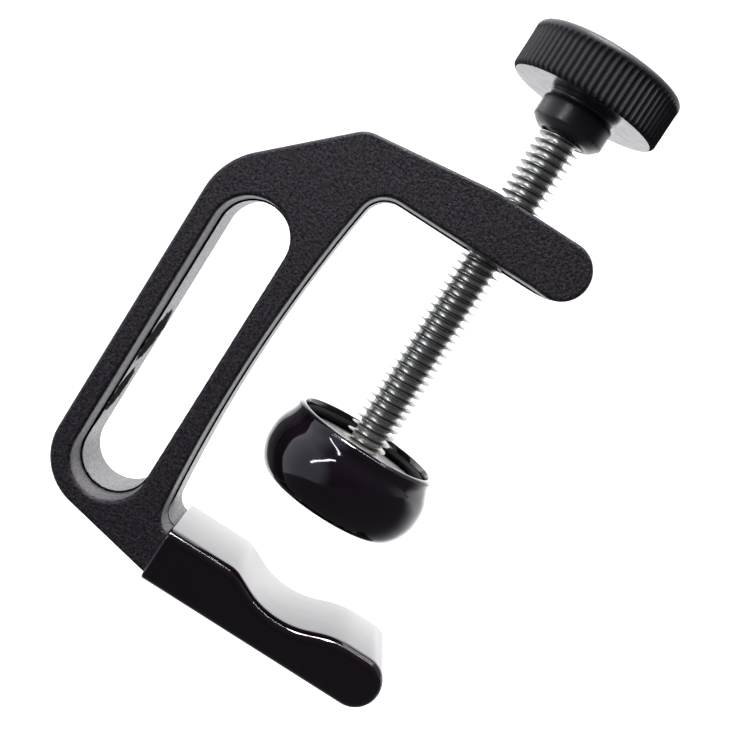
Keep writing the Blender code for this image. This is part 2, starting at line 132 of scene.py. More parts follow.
def normals_of(loop):
    """Unit normals of a closed loop, to the right of the way it runs."""
    out = []
    for i, here in enumerate(loop):
        along = (loop[(i + 1) % len(loop)] - here).normalized()
        along = along + (here - loop[i - 1]).normalized()
        along.normalize()
        out.append(Vector((along.y, -along.x)))
    return out


def wound(loop, way):
    """The loop run anticlockwise (way 1) or clockwise (way -1), seen from the front."""
    area = sum(a.x * b.y - b.x * a.y for a, b in zip(loop, loop[1:] + loop[:1])) / 2
    return loop[::-1] if area * way < 0 else loop


def lathe(profile, steps, radius=None):
    """Verts and faces of a turned solid. The profile is a closed list of (r, z), or one
    that starts and ends on the axis. radius(r, z, w) may vary the rim."""
    verts, faces = [], []
    for k in range(steps):
        w = 2 * math.pi * k / steps
        for r, z in profile:
            reach = radius(r, z, w) if radius else r
            verts.append((reach * math.cos(w), reach * math.sin(w), z))
    count = len(profile)
    for k in range(steps):
        j = (k + 1) % steps
        for i in range(count):
            m = (i + 1) % count
            if profile[i][0] < 1e-6 and profile[m][0] < 1e-6:
                continue
            faces.append((k * count + i, k * count + m, j * count + m, j * count + i))
    return verts, faces


def spline(points, per):
    """A smooth curve through (r, z) points, in `per` steps between each two."""
    out = []
    last = len(points) - 1
    for i in range(last):
        p0, p1 = Vector(points[max(i - 1, 0)]), Vector(points[i])
        p2, p3 = Vector(points[i + 1]), Vector(points[min(i + 2, last)])
        for k in range(per):
            t = k / per
            spot = 0.5 * (
                2 * p1 + (p2 - p0) * t + (2 * p0 - 5 * p1 + 4 * p2 - p3) * t * t
                + (3 * p1 - p0 - 3 * p2 + p3) * t**3
            )
            out.append((spot.x, spot.y))
    out.append(tuple(points[-1]))
    return out


def arc(mid_x, mid_z, radius, start, end, count):
    """Points of an arc between two angles in degrees."""
    angles = [math.radians(start + (end - start) * k / count) for k in range(count + 1)]
    return [(mid_x + radius * math.cos(w), mid_z + radius * math.sin(w)) for w in angles]


# ---- materials --------------------------------------------------------------
class Wiring:
    """A short way to add and link the nodes of a shader tree."""

    def __init__(self, tree):
        self.tree = tree

    def feed(self, socket, value):
        if isinstance(value, bpy.types.NodeSocket):
            self.tree.links.new(value, socket)
        else:
            socket.default_value = value

    def node(self, kind, inputs=None, **settings):
        made = self.tree.nodes.new("ShaderNode" + kind)
        for key, value in settings.items():
            setattr(made, key, value)
        for key, value in (inputs or {}).items():
            self.feed(made.inputs[key], value)
        return made

    def vector(self, operation, source, other):
        return self.node("VectorMath", {0: source, 1: other}, operation=operation).outputs[0]

    def dot(self, source, direction):
        inputs = {0: source, 1: tuple(direction)}
        return self.node("VectorMath", inputs, operation="DOT_PRODUCT").outputs["Value"]

    def calc(self, operation, a, b=0.0, c=0.0):
        return self.node("Math", {0: a, 1: b, 2: c}, operation=operation).outputs[0]

    def scaled(self, source, by, plus=None):
        if plus is None:
            return self.calc("MULTIPLY", source, by)
        return self.calc("MULTIPLY_ADD", source, by, plus)

    def inverse(self, source):
        return self.calc("SUBTRACT", 1.0, source)

    def hypot(self, a, b):
        return self.calc("SQRT", self.calc("ADD", self.scaled(a, by=a), self.scaled(b, by=b)))

    def ramp(self, source, span, to=(0.0, 1.0)):
        """A smooth step from to[0] to to[1] while the source crosses the span."""
        inputs = {
            "Value": source, "From Min": span[0], "From Max": span[1],
            "To Min": to[0], "To Max": to[1],
        }
        step = self.node("MapRange", inputs, interpolation_type="SMOOTHSTEP", clamp=True)
        return step.outputs["Result"]

    def mix(self, factor, a, b, blend="MIX"):
        made = self.node("Mix", {0: factor}, data_type="RGBA", blend_type=blend)
        for socket, value in zip([s for s in made.inputs if s.type == "RGBA"], (a, b)):
            self.feed(socket, (*value, 1.0) if isinstance(value, tuple) else value)
        return next(s for s in made.outputs if s.type == "RGBA")


class Look(Wiring):
    """A material whose patterns are laid out in millimetres of object space."""

    def __init__(self, name):
        self.material = bpy.data.materials.new(name)
        self.material.use_nodes = True
        super().__init__(self.material.node_tree)
        inputs = {0: self.node("TexCoord").outputs["Object"], "Scale": 1000.0}
        self.place = self.node("VectorMath", inputs, operation="SCALE").outputs[0]

    def noise(self, scale, detail, rough, source=None, distortion=0.0):
        inputs = {
            "Vector": source or self.place, "Scale": scale, "Detail": detail,
            "Roughness": rough, "Distortion": distortion,
        }
        return self.node("TexNoise", inputs).outputs["Fac"]

    def stretched(self, x=1.0, y=1.0, z=1.0):
        return self.vector("MULTIPLY", self.place, (x, y, z))

    def split(self, source=None):
        return self.node("SeparateXYZ", {0: source or self.place}).outputs

    def facing(self, axis):
        """How squarely the surface faces along an axis (1 is Y, 2 is Z)."""
        normal = self.node("NewGeometry").outputs["Normal"]
        return self.calc("ABSOLUTE", self.split(normal)[axis])

    def radius(self):
        x, y, _ = self.split()
        return self.hypot(x, y)

    def rings(self, scale, detail, rough):
        """Noise that varies only with the distance from the Z axis."""
        source = self.node("CombineXYZ", {"X": self.radius()}).outputs[0]
        return self.noise(scale, detail, rough, source)

    def bump(self, height, depth, strength, after=None):
        """Relief of a depth in millimetres, on top of an earlier normal."""
        inputs = {"Height": height, "Distance": depth * MM, "Strength": strength}
        if after is not None:
            inputs["Normal"] = after
        return self.node("Bump", inputs).outputs["Normal"]

    def finish(self, **inputs):
        shader = self.tree.nodes["Principled BSDF"]
        for key, value in inputs.items():
            self.feed(shader.inputs[key.replace("_", " ")], value)
        return self.material


LINE_Y = -3.36                    # the dark line along the parting
# Dark patches where gates were broken off: middle z, half height, middle y, half width,
# and lean (the share of its height that a patch drifts along Y)
GATE_MARKS = (
    (24.1, 5.4, 1.9, 5.6, 0.25),
    (13.1, 4.6, 0.8, 4.4, 0.30),
    (8.6, 2.4, -3.2, 0.8, 0.0),
)


def gate_marks(look, x, y, z, wobble):
    """Mask of the ragged ellipses on the slot's -X wall."""
    wall = look.ramp(x, span=(-41.6, -41.2))
    wall = look.scaled(wall, by=look.ramp(x, span=(-39.6, -40.2)))
    marks = None
    for mid_z, half_z, mid_y, half_y, lean in GATE_MARKS:
        up = look.calc("DIVIDE", look.calc("SUBTRACT", z, mid_z + LIFT), half_z)
        drift = look.scaled(look.calc("SUBTRACT", z, mid_z + LIFT), by=-lean)
        across = look.calc("SUBTRACT", look.calc("ADD", y, drift), mid_y)
        across = look.calc("DIVIDE", across, half_y)
        reach = look.calc("ADD", look.hypot(up, across), look.scaled(wobble, by=0.75))
        mark = look.ramp(reach, span=(0.88, 0.96), to=(1.0, 0.0))
        marks = mark if marks is None else look.calc("MAXIMUM", marks, mark)
    return look.scaled(marks, by=wall)


def powder_coat():
    """Fine-textured powder coat: small soft grains with brighter specks and dark pits,
    a dark ragged line along the parting line, the gates' bare dark patches, and a
    painted sheen that makes the walls paler."""
    look = Look("frame_powder_coat_look")
    grain = look.noise(scale=2.1, detail=2.0, rough=0.6)
    fine = look.noise(scale=5.2, detail=2.0, rough=0.65)
    cells = look.node("TexVoronoi", {"Vector": look.place, "Scale": 2.3}).outputs["Distance"]
    height = look.scaled(grain, by=0.62, plus=look.scaled(fine, by=0.38))
    height = look.scaled(look.inverse(cells), by=0.30, plus=height)
    patch = look.noise(scale=0.045, detail=3.0, rough=0.5)
    both = look.scaled(grain, by=0.55, plus=look.scaled(fine, by=0.45))
    speck = look.ramp(both, span=(0.51, 0.62))
    pit = look.ramp(both, span=(0.49, 0.40))
    base = look.mix(patch, a=(0.0085, 0.0056, 0.0088), b=(0.0110, 0.0080, 0.0128))
    base = look.mix(look.scaled(speck, by=0.80), base, b=(0.040, 0.033, 0.047))
    base = look.mix(look.scaled(pit, by=0.75), base, b=(0.003, 0.002, 0.003))

    x, y, z = look.split()
    wobble = look.scaled(look.noise(scale=0.9, detail=3.0, rough=0.6), by=0.9, plus=-0.45)
    line = look.calc("ADD", look.calc("ADD", y, -LINE_Y), look.scaled(wobble, by=0.8))
    line = look.ramp(look.calc("ABSOLUTE", line), span=(0.10, 0.30), to=(1.0, 0.0))
    broken = look.ramp(look.noise(scale=0.30, detail=3.0, rough=0.6), span=(0.36, 0.46))
    line = look.scaled(line, by=broken)
    dark = look.calc("MAXIMUM", line, gate_marks(look, x, y, z, wobble))

    # painted sheen: where the surface faces sideways, its base colour is painted paler in
    #     patches. This is a painted reflection of the bright room at grazing angles, half as
    #     strong in front of the parting line.
    side = look.ramp(look.facing(1), span=(0.12, 0.36), to=(1.0, 0.0))
    side = look.scaled(side, by=look.inverse(dark))
    rear = look.ramp(y, span=(PART_Y - 0.15, PART_Y + 0.15), to=(0.50, 1.0))
    side = look.scaled(side, by=rear)
    sheen_patches = look.noise(scale=2.6, detail=3.0, rough=0.7)
    sheen_patches = look.ramp(sheen_patches, span=(0.38, 0.54), to=(0.10, 1.0))
    # the painted sheen goes into the base colour here
    base = look.mix(look.scaled(side, by=sheen_patches), base, b=(0.098, 0.091, 0.106))
    base = look.mix(dark, base, b=(0.0035, 0.0028, 0.0038))
    rough = look.ramp(grain, span=(0.3, 0.7), to=(0.42, 0.60))
    rough = look.scaled(side, by=-0.16, plus=rough)
    rough = look.calc("MAXIMUM", rough, look.scaled(dark, by=0.95))
    shine = look.scaled(dark, by=-0.46, plus=look.scaled(pit, by=-0.26, plus=0.5))
    shine = look.scaled(look.scaled(side, by=sheen_patches), by=0.38, plus=shine)
    least_shine = 0.02
    shine = look.calc("MAXIMUM", shine, least_shine)
    normal = look.bump(height, depth=0.17, strength=1.0)
    broad = look.noise(scale=0.22, detail=2.0, rough=0.5)
    normal = look.bump(broad, depth=0.10, strength=0.5, after=normal)
    return look.finish(
        Base_Color=base, Roughness=rough, Normal=normal, Specular_IOR_Level=shine
    )


def bored_metal():
    """The tapped hole: bare machined aluminium with turning marks."""
    look = Look("tapped_hole_look")
    marks = look.noise(scale=1.4, detail=3.0, rough=0.6, source=look.stretched(z=5.0))
    return look.finish(
        Base_Color=look.mix(marks, a=(0.16, 0.16, 0.16), b=(0.36, 0.36, 0.35)),
        Roughness=look.scaled(marks, by=0.2, plus=0.3),
        Normal=look.bump(marks, depth=0.03, strength=0.6),
        Metallic=1.0,
    )


def gloss_pvc(name, wave):
    """Dipped soft PVC: deep black under a wet gloss, with slow ripples from the dip,
    `wave` mm deep, a little fine orange peel and faint smears of handling."""
    look = Look(name)
    tint = (0.0042, 0.0022, 0.0044)
    slow = look.noise(scale=0.16, detail=2.0, rough=0.4)
    peel = look.noise(scale=1.1, detail=2.0, rough=0.5)
    smear = look.noise(
        scale=0.35, detail=4.0, rough=0.6, source=look.stretched(y=0.6, z=0.4), distortion=0.6
    )
    normal = look.bump(slow, depth=wave, strength=0.55)
    return look.finish(
        Base_Color=look.mix(slow, tint, tuple(c * 1.35 for c in tint)),
        Roughness=look.ramp(smear, span=(0.40, 0.72), to=(0.045, 0.13)),
        Normal=look.bump(peel, depth=0.012, strength=0.35, after=normal),
        IOR=1.53, Coat_Weight=0.35, Coat_Roughness=0.04,
    )


def zinc_thread():
    """Bright zinc on a rolled thread: green-grey roots, crests painted lighter as a
    painted highlight, flanks painted dark as painted shade, and fine rolling marks."""
    look = Look("screw_zinc_look")
    # painted highlight: the crests' base colour (rim) is lighter than the roots'
    crest = look.ramp(look.radius(), span=(3.60, 3.94))
    marks = look.noise(scale=1.1, detail=4.0, rough=0.65, source=look.stretched(z=6.0))
    blotch = look.noise(scale=0.55, detail=4.0, rough=0.6)
    root = look.mix(blotch, a=(0.36, 0.372, 0.340), b=(0.80, 0.805, 0.765))
    rim = look.mix(marks, a=(0.55, 0.56, 0.53), b=(0.86, 0.86, 0.83))
    # painted shade: faces turned up or down (the flanks) get a dark base colour in place of their dark
    # reflections
    flank = look.ramp(look.facing(2), span=(0.55, 0.92))
    base = look.mix(crest, root, rim)
    painted_flank_shade = look.mix(marks, a=(0.045, 0.047, 0.040), b=(0.17, 0.173, 0.155))
    base = look.mix(look.scaled(flank, by=0.88), base, painted_flank_shade)
    rough = look.scaled(blotch, by=0.26, plus=0.16)
    rough = look.scaled(marks, by=0.08, plus=rough)
    normal = look.bump(marks, depth=0.030, strength=0.7)
    fine = look.noise(scale=4.0, detail=2.0, rough=0.5)
    normal = look.bump(fine, depth=0.02, strength=0.5, after=normal)
    return look.finish(Base_Color=base, Roughness=rough, Normal=normal, Metallic=0.87)


def knob_plastic(name, rough, depth):
    """Moulded black plastic with a spark-eroded grain, `depth` mm deep."""
    look = Look(name)
    grain = look.noise(scale=3.6, detail=3.0, rough=0.6)
    specks = look.ramp(look.noise(scale=5.5, detail=2.0, rough=0.6), span=(0.62, 0.75))
    broad = look.noise(scale=0.09, detail=2.0, rough=0.5)
    base = look.mix(broad, a=(0.0125, 0.0115, 0.0140), b=(0.0190, 0.0175, 0.0205))
    base = look.mix(look.scaled(specks, by=0.45), base, b=(0.085, 0.08, 0.088))
    return look.finish(
        Base_Color=base,
        Roughness=look.ramp(grain, span=(0.3, 0.7), to=rough),
        Normal=look.bump(grain, depth, strength=0.8),
        IOR=1.5,
    )


def knob_face_plastic():
    """The knob's smooth faces, satin with faint turning rings from the mould."""
    look = Look("knob_smooth_look")
    rings = look.rings(scale=1.0, detail=2.0, rough=0.5)
    haze = look.noise(scale=0.5, detail=4.0, rough=0.6)
    normal = look.bump(rings, depth=0.004, strength=0.25)
    fine = look.noise(scale=2.6, detail=3.0, rough=0.6)
    return look.finish(
        Base_Color=look.mix(haze, a=(0.0115, 0.0105, 0.0130), b=(0.0170, 0.0158, 0.0185)),
        Roughness=look.ramp(haze, span=(0.3, 0.7), to=(0.15, 0.25)),
        Normal=look.bump(fine, depth=0.004, strength=0.5, after=normal),
        IOR=1.5,
    )


def turned_metal(name, low, high, rough, metal):
    """Turned and tumbled metal: rings round the axis under small scratches."""
    look = Look(name)
    rings = look.rings(scale=3.0, detail=3.0, rough=0.6)
    scuff = look.noise(scale=0.8, detail=5.0, rough=0.65)
    normal = look.bump(rings, depth=0.010, strength=0.5)
    fine = look.noise(scale=3.0, detail=3.0, rough=0.6)
    return look.finish(
        Base_Color=look.mix(scuff, low, high),
        Roughness=look.ramp(scuff, span=(0.3, 0.7), to=rough),
        Normal=look.bump(fine, depth=0.006, strength=0.5, after=normal),
        Metallic=metal,
    )


COAT = powder_coat()
BORE = bored_metal()
SLEEVE = gloss_pvc("sleeve_gloss_look", wave=0.09)
CAP = gloss_pvc("cap_gloss_look", wave=0.07)
ZINC = zinc_thread()
KNOB = knob_plastic("knob_grip_look", rough=(0.38, 0.58), depth=0.045)
KNOB_FACE = knob_face_plastic()
BOSS = knob_plastic("knob_boss_look", rough=(0.27, 0.36), depth=0.010)
DISC = turned_metal(
    "foot_disc_look", low=(0.46, 0.45, 0.45), high=(0.62, 0.61, 0.60), rough=(0.30, 0.45),
    metal=0.2,
)
STEEL = turned_metal(
    "small_steel_look", low=(0.22, 0.22, 0.22), high=(0.42, 0.42, 0.41), rough=(0.25, 0.45),
    metal=1.0,
)


# ---- the cast frame ---------------------------------------------------------
ARM_LOW, ARM_HIGH = 65.4, 75.5
ARM_TIP = 16.1
# the jaw: its underside, the flat by the throat, the top of its tip, and the tip's end
JAW_LOW, JAW_LAND, HORN, JAW_TIP = -8.9, -1.2, -1.8, 23.4
SLEEVE_X = -19.9                  # the sleeve's open end
# the hollow in the jaw's top: far shoulder (x, radius), floor (x, z, radius) and near
# shoulder (x, radius)
HOLLOW = ((13.55, 14.8), (2.5, -5.95, 16.2), (-7.1, 4.8))
SLOT_X, SLOT_R = -34.4, 6.4
SLOT_LOW, SLOT_HIGH = 4.0, 47.8   # centres of the slot's round ends
EDGE = 0.62                       # rounding of the casting's long edges
# inset of the front and back halves' walls before the ledge is allowed for
FRONT_INSET, BACK_INSET = 0.05, 0.12
COUNTERSINK_R, SINK_END_R = 5.35, 3.6
SINK_OVER, SINK_DEEP = 0.7, 1.05  # a countersink's reach outside and inside the arm


def jaw_corners(off):
    """Corners (x, z, radius) of the jaw's outline, moved outwards by off."""
    far, floor, near = HOLLOW
    tip_r = (HORN - JAW_LOW) / 2 - 0.01
    # x, z, radius, and how the radius follows off: 1 grows, -1 shrinks. The two ends
    # only give directions.
    chain = [
        (SLEEVE_X, JAW_LOW, 0.0, 0), (JAW_TIP, JAW_LOW, tip_r, 1), (JAW_TIP, HORN, tip_r, 1),
        (far[0], HORN, far[1], 1), (*floor, -1), (near[0], JAW_LAND, near[1], 1),
        (SLEEVE_X, JAW_LAND, 0.0, 0),
    ]
    corners = []
    for before, here, after in zip(chain, chain[1:], chain[2:]):
        into = Vector((here[0] - before[0], here[1] - before[1])).normalized()
        out = Vector((after[0] - here[0], after[1] - here[1])).normalized()
        a, b = Vector((into.y, -into.x)), Vector((out.y, -out.x))
        shift = (a + b) * (off / (1.0 + a.dot(b)))
        corners.append((here[0] + shift.x, here[1] + shift.y, here[2] + here[3] * off))
    return corners


def throat_x(z):
    """The throat's slightly bowed wall."""
    return -23.72 + (z - 27.0) ** 2 / 500.0


def frame_outline():
    arm_r = (ARM_HIGH - ARM_LOW) / 2 - 0.001
    # the arm's tip, along its top, down the spine and to the jaw: x, z, radius
    back = [
        (ARM_TIP, ARM_LOW, arm_r), (ARM_TIP, ARM_HIGH, arm_r), (-4.6, ARM_HIGH, 18.0),
        (-27.4, 72.58, 5.0), (-44.8, 56.16, 12.8), (-44.8, -3.94, 10.3), (-19.9, -9.1, 6.0),
    ]
    throat = [
        (throat_x(JAW_LAND), JAW_LAND, 3.0), *[(throat_x(z), z, 0.0) for z in range(6, 60, 3)],
        (throat_x(ARM_LOW), ARM_LOW, 4.5),
    ]
    return rounded(back + jaw_corners(0.0) + throat)


def slot_outline():
    ends = arc(SLOT_X, SLOT_HIGH, SLOT_R, 0, 180, 40) + arc(SLOT_X, SLOT_LOW, SLOT_R, 180, 360, 40)
    return [Vector(point) for point in ends]


def wall_columns(flash, proud):
    """(inset, y) through the thickness: rounded edge, front die half, the ledge at the
    parting line where the rear die half stands proud, rear half, rounded edge."""
    half = THICK / 2
    front, back = FRONT_INSET, BACK_INSET
    out = []
    for k in range(6):
        w = math.radians(90 - 15 * k)
        inset = front + proud + EDGE * (1 - math.cos(w))
        out.append((inset, -half + EDGE * (1 - math.sin(w))))
    out += [
        (front + 0.8 * proud, -half + 1.6), (front + 0.2 * proud, PART_Y - 1.2),
        (0.06, PART_Y - 0.30), (0.07, PART_Y - 0.06),
        (0.05 - 0.4 * proud, PART_Y - 0.03), (-proud, PART_Y + 0.03),
        (0.05 - proud - 0.05 * flash, PART_Y + 0.14), (0.02 - proud, PART_Y + 0.34),
        (0.03 - proud, PART_Y + 1.0), (0.05 - 0.8 * proud, 0.5),
        (0.09 - 0.5 * proud, 4.5), (0.11 - 0.3 * proud, half - 1.4),
    ]
    for k in range(6):
        w = math.radians(15 * k)
        inset = back - 0.2 * proud + EDGE * (1 - math.cos(w))
        out.append((inset, half - EDGE * (1 - math.sin(w))))
    return out


# the columns next to the parting line, which are uneven along Y and in their inset
UNEVEN_Y = range(9, 13)
UNEVEN_INSET = range(10, 13)


def proud_at(point, in_slot):
    """How far the rear die half stands proud: in the slot and along the throat."""
    def fade(value, start, end):
        t = min(1.0, max(0.0, (value - start) / (end - start)))
        return t * t * (3 - 2 * t)

    if in_slot:
        return 0.24
    if not (-27.0 < point.x < 14.0 and -1.0 < point.y < 66.6):
        return 0.0
    return 0.22 * fade(point.y, 0.5, 3.0) * (1 - fade(point.x, 8.0, 12.5))


def unevenness(point, scale, layer):
    return noise.noise(Vector((point.x * scale, layer, point.y * scale)))


def casting_mesh():
    verts, faces, rims = [], [], []
    outer = wound(stepped(frame_outline(), 0.7), 1)
    slot = wound(stepped(slot_outline(), 0.6), -1)
    for loop in (outer, slot):
        sides = normals_of(loop)
        prouds = [proud_at(point, loop is slot) for point in loop]
        count = len(loop)
        base = len(verts)
        for point, side, proud in zip(loop, sides, prouds):
            # the ledge at the parting line is uneven, and the flash missing in places
            flash = max(0.0, 0.3 + unevenness(point, 0.35, 3.0))
            jitter = 0.10 * unevenness(point, 1.1, 9.0)
            columns = wall_columns(flash, proud)
            for c, (inset, y) in enumerate(columns):
                if c in UNEVEN_INSET and proud > 0.05:
                    inset += 0.35 * jitter
                if c in UNEVEN_Y:
                    y += jitter * 1.6
                spot = point - side * inset
                verts.append((spot.x, y, spot.y))
        m = len(columns)
        for i in range(count):
            here, there = base + i * m, base + (i + 1) % count * m
            for c in range(m - 1):
                faces.append((here + c, there + c, there + c + 1, here + c + 1))

        # a narrow flat ring keeps the big faces' shading flat up to the rounding
        flat = EDGE + 0.03
        front, back = [], []
        for ring, inset, share, y in (
            (front, FRONT_INSET, 1.0, -THICK / 2), (back, BACK_INSET, -0.2, THICK / 2),
        ):
            for point, side, proud in zip(loop, sides, prouds):
                spot = point - side * (inset + share * proud + flat)
                ring.append(len(verts))
                verts.append((spot.x, y, spot.y))
        for i in range(count):
            j = (i + 1) % count
            here, there = base + i * m, base + j * m
            faces.append((there, here, front[i], front[j]))
            faces.append((here + m - 1, there + m - 1, back[j], back[i]))
        rims.append((front, back))

    for which in (0, 1):
        loops = [[Vector((verts[v][0], verts[v][2], 0.0)) for v in rim[which]] for rim in rims]
        index = [v for rim in rims for v in rim[which]]
        for triangle in tessellate_polygon(loops):
            faces.append(tuple(index[t] for t in triangle))
    return mesh_of("frame_casting", verts, faces)


def hole_cutters():
    """The tapped hole, a helix a little larger than the screw's, and countersinks."""
    low = THREAD_LOW + PITCH * 27
    high = low + PITCH * 11
    root, profile = tap_profile(0.2)
    cutters = [
        thread_solid("tap", root, profile, low, high, 32, 0.0, [(root, low - 0.6)], [(root, high + 0.6)])
    ]
    for name, (r0, z0), (r1, z1) in (
        ("sink_low", (COUNTERSINK_R, ARM_LOW - SINK_OVER), (SINK_END_R, ARM_LOW + SINK_DEEP)),
        ("sink_high", (SINK_END_R, ARM_HIGH - SINK_DEEP), (COUNTERSINK_R, ARM_HIGH + SINK_OVER)),
    ):
        cutters.append(mesh_of(name, *lathe([(0.0, z0), (r0, z0), (r1, z1), (0.0, z1)], 64)))
    return cutters


def cut(obj, cutter_mesh):
    """Take a solid out of an object."""
    cutter = bpy.data.objects.new("cutter", cutter_mesh)
    bpy.context.scene.collection.objects.link(cutter)
    boolean = obj.modifiers.new("cut", "BOOLEAN")
    boolean.object, boolean.operation, boolean.solver = cutter, "DIFFERENCE", "EXACT"
    bpy.context.view_layer.update()
    evaluated = obj.evaluated_get(bpy.context.evaluated_depsgraph_get())
    done = bpy.data.meshes.new_from_object(evaluated)
    obj.modifiers.clear()
    obj.data = done
    bpy.data.objects.remove(cutter)


def build_frame():
    blank = bpy.data.objects.new("frame_casting", casting_mesh())
    bpy.context.scene.collection.objects.link(blank)
    for cutter_mesh in hole_cutters():
        cut(blank, cutter_mesh)
    mesh = blank.data
    mesh.materials.clear()
    bpy.data.objects.remove(blank)

    bm = bmesh.new()
    bm.from_mesh(mesh)
    bmesh.ops.remove_doubles(bm, verts=bm.verts, dist=1e-6)
    bmesh.ops.dissolve_degenerate(bm, dist=1e-7, edges=bm.edges)
    bmesh.ops.holes_fill(bm, edges=[e for e in bm.edges if e.is_boundary], sides=0)
    bmesh.ops.triangulate(bm, faces=[f for f in bm.faces if len(f.verts) > 4])
    bmesh.ops.recalc_face_normals(bm, faces=bm.faces)
    bm.to_mesh(mesh)
    bm.free()
    mesh.name = "frame_casting"
    new_object("frame_casting", mesh, [COAT, BORE], "frame", "clamp_frame")

    # bare metal inside the hole, but not on the arm's upper and lower faces
    for face in mesh.polygons:
        x, y, z = face.center / MM
        near_hole = math.hypot(x, y) < 4.9 and ARM_LOW - 0.1 < z - LIFT < ARM_HIGH + 0.1
        on_face = abs(face.normal.y) >= 0.999 or abs(face.normal.z) > 0.98
        face.material_index = int(near_hole and not on_face)
    mesh.set_sharp_from_angle(angle=math.radians(38))


# ---- threads ----------------------------------------------------------------
THREAD_FLAT = PITCH / 16          # width of a nominal crest
FLANK_SLOPE = math.tan(math.radians(30))
# the screw's thin crest over hollow flanks: distance from the crest's middle, radius
BLADE = [
    (0.030, THREAD_CREST), (0.055, 3.74), (0.09, 3.40), (0.15, 3.05), (0.27, 2.80),
    (0.44, 2.70), (PITCH / 2, 2.68),
]


def tap_profile(grow):
    """Root radius and one pitch (dz, radius) of a thread made larger by grow."""
    root, crest = THREAD_ROOT + grow, THREAD_CREST + grow
    flank = (crest - root) * FLANK_SLOPE
    width = 2 * flank + THREAD_FLAT
    # one flank as (share of the flank, radius)
    shape = [
        (0.0, root), (0.10, root + 0.14 * (crest - root)), (0.5, root + 0.56 * (crest - root)),
        (0.84, root + 0.92 * (crest - root)), (1.0, crest),
    ]
    points = [(t * flank, r) for t, r in shape]
    points += [(width - t * flank, r) for t, r in reversed(shape)]
    for k in (1, 2):
        points.append((width + (PITCH - width) * k / 3, root - 0.02 * math.sin(math.pi * k / 3)))
    return root, points


def screw_profile():
    """Root radius and one pitch (dz, radius) of the screw's thread."""
    middle = (THREAD_CREST - THREAD_ROOT) * FLANK_SLOPE + THREAD_FLAT / 2
    points = [(middle - d, r) for d, r in reversed(BLADE)]
    points += [(middle + d, r) for d, r in BLADE[:-1]]
    return BLADE[-1][1], points


def thread_solid(name, root, points, z_low, z_high, steps, fade, below, above):
    """A right-hand helix on a grid whose rows follow it. Rows past an end are pressed
    onto its plane; the thread fades to its root over `fade` pitches. `below` and
    `above` are (radius, z) rings past the ends; a radius may be a function of angle."""
    per = len(points)
    turns = math.ceil((z_high - z_low) / PITCH) + 1
    rows = [(t * PITCH + dz, r) for t in range(-1, turns + 1) for dz, r in points]
    verts, faces = [], []
    count = len(rows)
    for i in range(steps):
        w = 2 * math.pi * i / steps
        for dz, r in rows:
            z = z_low + dz + PITCH * i / steps
            share = 1.0
            if fade:
                run = fade * PITCH
                share = max(0.0, min(1.0, (z - z_low) / run, (z_high - z) / run))
            held = min(max(z, z_low), z_high)
            reach = root if z != held else root + (r - root) * share
            verts.append((reach * math.cos(w), reach * math.sin(w), held))
    for i in range(steps):
        here = i * count
        # the last column joins the first one a pitch further up
        there = here + count if i + 1 < steps else per
        for k in range(count - 1):
            if i + 1 == steps and k + per + 1 >= count:
                continue
            faces.append((here + k, there + k, there + k + 1, here + k + 1))

    for start_z, profile in ((z_low, below), (z_high, above)):
        previous = None
        for radius, z in [(root, start_z)] + profile:
            ring = []
            for i in range(steps):
                w = 2 * math.pi * i / steps
                reach = radius(w) if callable(radius) else radius
                ring.append(len(verts))
                verts.append((reach * math.cos(w), reach * math.sin(w), z))
            if previous:
                for i in range(steps):
                    j = (i + 1) % steps
                    faces.append((previous[i], previous[j], ring[j], ring[i]))
            previous = ring
        faces.append(tuple(previous))
    return mesh_of(name, verts, faces)


# ---- the screw --------------------------------------------------------------
BALL_R, STEM_R, GROOVE_R = 3.0, 1.9, 1.45
HEX_ACROSS, HEX_CHAMFER = 12.7, 0.25
HEX_LOW, HEX_HIGH = 96.3, 101.4


def hexagon(across):
    """Radius by angle of a hexagon, from its width across flats."""
    def radius(w):
        return across / 2 / math.cos((w + math.pi / 6) % (math.pi / 3) - math.pi / 6)
    return radius


def build_screw():
    below = []
    for degrees in range(0, 51, 5):
        w = math.radians(degrees)
        below.append((BALL_R * math.cos(w), BALL_Z - BALL_R * math.sin(w)))
    # the stem under the ball, with its groove
    below += [
        (STEM_R, BALL_Z - math.sqrt(BALL_R**2 - STEM_R**2)), (STEM_R, 21.8), (GROOVE_R, 21.8),
        (GROOVE_R, 20.7), (STEM_R, 20.7), (STEM_R, 20.5), (1.75, 20.35),
    ]
    head, bevel = hexagon(HEX_ACROSS), hexagon(HEX_ACROSS * 0.97)
    above = [
        (3.12, 90.6), (THREAD_CREST, 91.3), (THREAD_CREST, HEX_LOW), (bevel, HEX_LOW),
        (head, HEX_LOW + HEX_CHAMFER), (head, HEX_HIGH - HEX_CHAMFER), (bevel, HEX_HIGH),
    ]
    root, profile = screw_profile()
    mesh = thread_solid("screw_thread", root, profile, THREAD_LOW, 90.3, 48, 0.5, below, above)
    new_object("screw_thread", mesh, [ZINC], "screw", "clamp_screw")
    mesh.set_sharp_from_angle(angle=math.radians(50))


# ---- the knob ---------------------------------------------------------------
KNOB_LOW, KNOB_HIGH = 95.0, 103.6
RIDGES = 72
SIDE_R, SIDE_LOW, SIDE_HIGH = 13.6, 95.8, 101.0  # the grip's straight side
LID_R = 8.68
